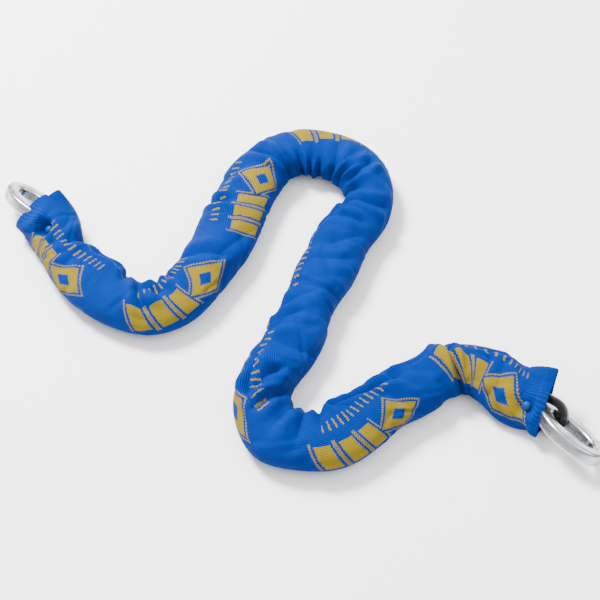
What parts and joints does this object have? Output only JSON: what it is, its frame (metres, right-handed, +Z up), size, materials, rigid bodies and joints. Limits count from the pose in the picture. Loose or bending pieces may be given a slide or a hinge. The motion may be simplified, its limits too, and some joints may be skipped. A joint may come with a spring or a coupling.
{
  "type": "chain lock",
  "caption": "Sleeved security chain: square-bar steel links inside a blue woven tube sleeve riveted at both ends, with an oval lock ring hanging in each end link.",
  "frame": {"origin": "middle of the lowest plane of the lock as it lies on the ground", "axes": "+X along the longest side of the lying lock, from the left ring to the right ring; +Y away from the viewer; +Z up"},
  "size_m": [0.4458, 0.3238, 0.0278],
  "materials": {
    "chain_steel": "hardened steel, dull grey, lightly polished on the crowns",
    "ring_zinc": "bright zinc plate with rolled streaks along the bar",
    "sleeve_weave": "blue ribbed nylon weave with a yellow woven pattern",
    "rivet_paint": "blue lacquer"
  },
  "bodies": {
    "stretch_01": {"link_01": "chain_steel", "sleeve_01": "sleeve_weave", "rivet_left": "rivet_paint"},
    "stretch_02": {"link_02": "chain_steel", "sleeve_02": "sleeve_weave"},
    "stretch_03": {"link_03": "chain_steel", "sleeve_03": "sleeve_weave"},
    "stretch_04": {"link_04": "chain_steel", "sleeve_04": "sleeve_weave"},
    "stretch_05": {"link_05": "chain_steel", "sleeve_05": "sleeve_weave"},
    "stretch_06": {"link_06": "chain_steel", "sleeve_06": "sleeve_weave"},
    "stretch_07": {"link_07": "chain_steel", "sleeve_07": "sleeve_weave"},
    "stretch_08": {"link_08": "chain_steel", "sleeve_08": "sleeve_weave"},
    "stretch_09": {"link_09": "chain_steel", "sleeve_09": "sleeve_weave"},
    "stretch_10": {"link_10": "chain_steel", "sleeve_10": "sleeve_weave"},
    "stretch_11": {"link_11": "chain_steel", "sleeve_11": "sleeve_weave"},
    "stretch_12": {"link_12": "chain_steel", "sleeve_12": "sleeve_weave"},
    "stretch_13": {"link_13": "chain_steel", "sleeve_13": "sleeve_weave"},
    "stretch_14": {"link_14": "chain_steel", "sleeve_14": "sleeve_weave"},
    "stretch_15": {"link_15": "chain_steel", "sleeve_15": "sleeve_weave"},
    "stretch_16": {"link_16": "chain_steel", "sleeve_16": "sleeve_weave"},
    "stretch_17": {"link_17": "chain_steel", "sleeve_17": "sleeve_weave"},
    "stretch_18": {"link_18": "chain_steel", "sleeve_18": "sleeve_weave"},
    "stretch_19": {"link_19": "chain_steel", "sleeve_19": "sleeve_weave"},
    "stretch_20": {"link_20": "chain_steel", "sleeve_20": "sleeve_weave"},
    "stretch_21": {"link_21": "chain_steel", "sleeve_21": "sleeve_weave"},
    "stretch_22": {"link_22": "chain_steel", "sleeve_22": "sleeve_weave"},
    "stretch_23": {"link_23": "chain_steel", "sleeve_23": "sleeve_weave"},
    "stretch_24": {"link_24": "chain_steel", "sleeve_24": "sleeve_weave"},
    "stretch_25": {"link_25": "chain_steel", "sleeve_25": "sleeve_weave"},
    "stretch_26": {"link_26": "chain_steel", "sleeve_26": "sleeve_weave"},
    "stretch_27": {"link_27": "chain_steel", "sleeve_27": "sleeve_weave", "rivet_right": "rivet_paint"},
    "ring_left": {"end_ring_left": "ring_zinc"},
    "ring_right": {"end_ring_right": "ring_zinc"}
  },
  "joints": [
    {"name": "bend_14_15", "type": "hinge", "parent": "stretch_14", "child": "stretch_15", "pos_m": [0.04732, 0.05489, 0.0135], "axis": [0, 0, 1], "range_deg": [-22, 39]},
    {"name": "bend_15_16", "type": "hinge", "parent": "stretch_15", "child": "stretch_16", "pos_m": [0.03423, 0.02405, 0.0135], "axis": [0, 0, -1], "range_deg": [-47, 28]},
    {"name": "bend_16_17", "type": "hinge", "parent": "stretch_16", "child": "stretch_17", "pos_m": [0.02114, -0.00678, 0.0135], "axis": [0, 0, 1], "range_deg": [-39, 42]},
    {"name": "bend_17_18", "type": "hinge", "parent": "stretch_17", "child": "stretch_18", "pos_m": [0.01078, -0.03864, 0.0135], "axis": [0, 0, -1], "range_deg": [-60, 34]},
    {"name": "bend_18_19", "type": "hinge", "parent": "stretch_18", "child": "stretch_19", "pos_m": [-0.00647, -0.06736, 0.0135], "axis": [0, 0, 1], "range_deg": [-56, 38]},
    {"name": "bend_19_20", "type": "hinge", "parent": "stretch_19", "child": "stretch_20", "pos_m": [-0.01902, -0.09842, 0.0135], "axis": [0, 0, -1], "range_deg": [-2, 92]},
    {"name": "bend_20_21", "type": "hinge", "parent": "stretch_20", "child": "stretch_21", "pos_m": [-0.00593, -0.12926, 0.0135], "axis": [0, 0, 1], "range_deg": [-92, 2]},
    {"name": "bend_21_22", "type": "hinge", "parent": "stretch_21", "child": "stretch_22", "pos_m": [0.02513, -0.1418, 0.0135], "axis": [0, 0, -1], "range_deg": [-2, 92]},
    {"name": "bend_22_23", "type": "hinge", "parent": "stretch_22", "child": "stretch_23", "pos_m": [0.05597, -0.12871, 0.0135], "axis": [0, 0, 1], "range_deg": [-71, 23]},
    {"name": "bend_23_24", "type": "hinge", "parent": "stretch_23", "child": "stretch_24", "pos_m": [0.07881, -0.10422, 0.0135], "axis": [0, 0, -1], "range_deg": [-58, 36]},
    {"name": "bend_24_25", "type": "hinge", "parent": "stretch_24", "child": "stretch_25", "pos_m": [0.10592, -0.08452, 0.0135], "axis": [0, 0, 1], "range_deg": [-18, 76]},
    {"name": "bend_25_26", "type": "hinge", "parent": "stretch_25", "child": "stretch_26", "pos_m": [0.13917, -0.08044, 0.0135], "axis": [0, 0, -1], "range_deg": [-92, 2]},
    {"name": "bend_26_27", "type": "hinge", "parent": "stretch_26", "child": "stretch_27", "pos_m": [0.16557, -0.10107, 0.0135], "axis": [0, 0, 1], "range_deg": [-41, 39]},
    {"name": "ring_right_swing", "type": "hinge", "parent": "stretch_27", "child": "ring_right", "pos_m": [0.18493, -0.11566, 0.0135], "axis": [-0.461, -0.6118, 0.6428], "range_deg": [-4, 18]},
    {"name": "bend_13_14", "type": "hinge", "parent": "stretch_14", "child": "stretch_13", "pos_m": [0.06457, 0.08361, 0.0135], "axis": [0, 0, -1], "range_deg": [-11, 83]},
    {"name": "bend_12_13", "type": "hinge", "parent": "stretch_13", "child": "stretch_12", "pos_m": [0.06165, 0.11698, 0.0135], "axis": [0, 0, 1], "range_deg": [-88, 6]},
    {"name": "bend_11_12", "type": "hinge", "parent": "stretch_12", "child": "stretch_11", "pos_m": [0.03755, 0.14025, 0.0135], "axis": [0, 0, -1], "range_deg": [-7, 87]},
    {"name": "bend_10_11", "type": "hinge", "parent": "stretch_11", "child": "stretch_10", "pos_m": [0.00413, 0.14259, 0.0135], "axis": [0, 0, 1], "range_deg": [-92, 2]},
    {"name": "bend_09_10", "type": "hinge", "parent": "stretch_10", "child": "stretch_09", "pos_m": [-0.02115, 0.12061, 0.0135], "axis": [0, 0, -1], "range_deg": [-21, 73]},
    {"name": "bend_08_09", "type": "hinge", "parent": "stretch_09", "child": "stretch_08", "pos_m": [-0.03424, 0.08977, 0.0135], "axis": [0, 0, 1], "range_deg": [-51, 28]},
    {"name": "bend_07_08", "type": "hinge", "parent": "stretch_08", "child": "stretch_07", "pos_m": [-0.04515, 0.0581, 0.0135], "axis": [0, 0, -1], "range_deg": [-40, 45]},
    {"name": "bend_06_07", "type": "hinge", "parent": "stretch_07", "child": "stretch_06", "pos_m": [-0.05715, 0.02682, 0.0135], "axis": [0, 0, 1], "range_deg": [-42, 52]},
    {"name": "bend_05_06", "type": "hinge", "parent": "stretch_06", "child": "stretch_05", "pos_m": [-0.07184, -0.00329, 0.0135], "axis": [0, 0, -1], "range_deg": [-82, 12]},
    {"name": "bend_04_05", "type": "hinge", "parent": "stretch_05", "child": "stretch_04", "pos_m": [-0.10114, -0.01953, 0.0135], "axis": [0, 0, 1], "range_deg": [-2, 92]},
    {"name": "bend_03_04", "type": "hinge", "parent": "stretch_04", "child": "stretch_03", "pos_m": [-0.13334, -0.0103, 0.0135], "axis": [0, 0, -1], "range_deg": [-81, 13]},
    {"name": "bend_02_03", "type": "hinge", "parent": "stretch_03", "child": "stretch_02", "pos_m": [-0.15487, 0.01537, 0.0135], "axis": [0, 0, 1], "range_deg": [-32, 62]},
    {"name": "bend_01_02", "type": "hinge", "parent": "stretch_02", "child": "stretch_01", "pos_m": [-0.16903, 0.04573, 0.0135], "axis": [0, 0, -1], "range_deg": [-35, 45]},
    {"name": "ring_left_swing", "type": "hinge", "parent": "stretch_01", "child": "ring_left", "pos_m": [-0.18115, 0.06673, 0.0135], "axis": [-0.6634, -0.383, 0.6428], "range_deg": [-30, 4]}
  ]
}
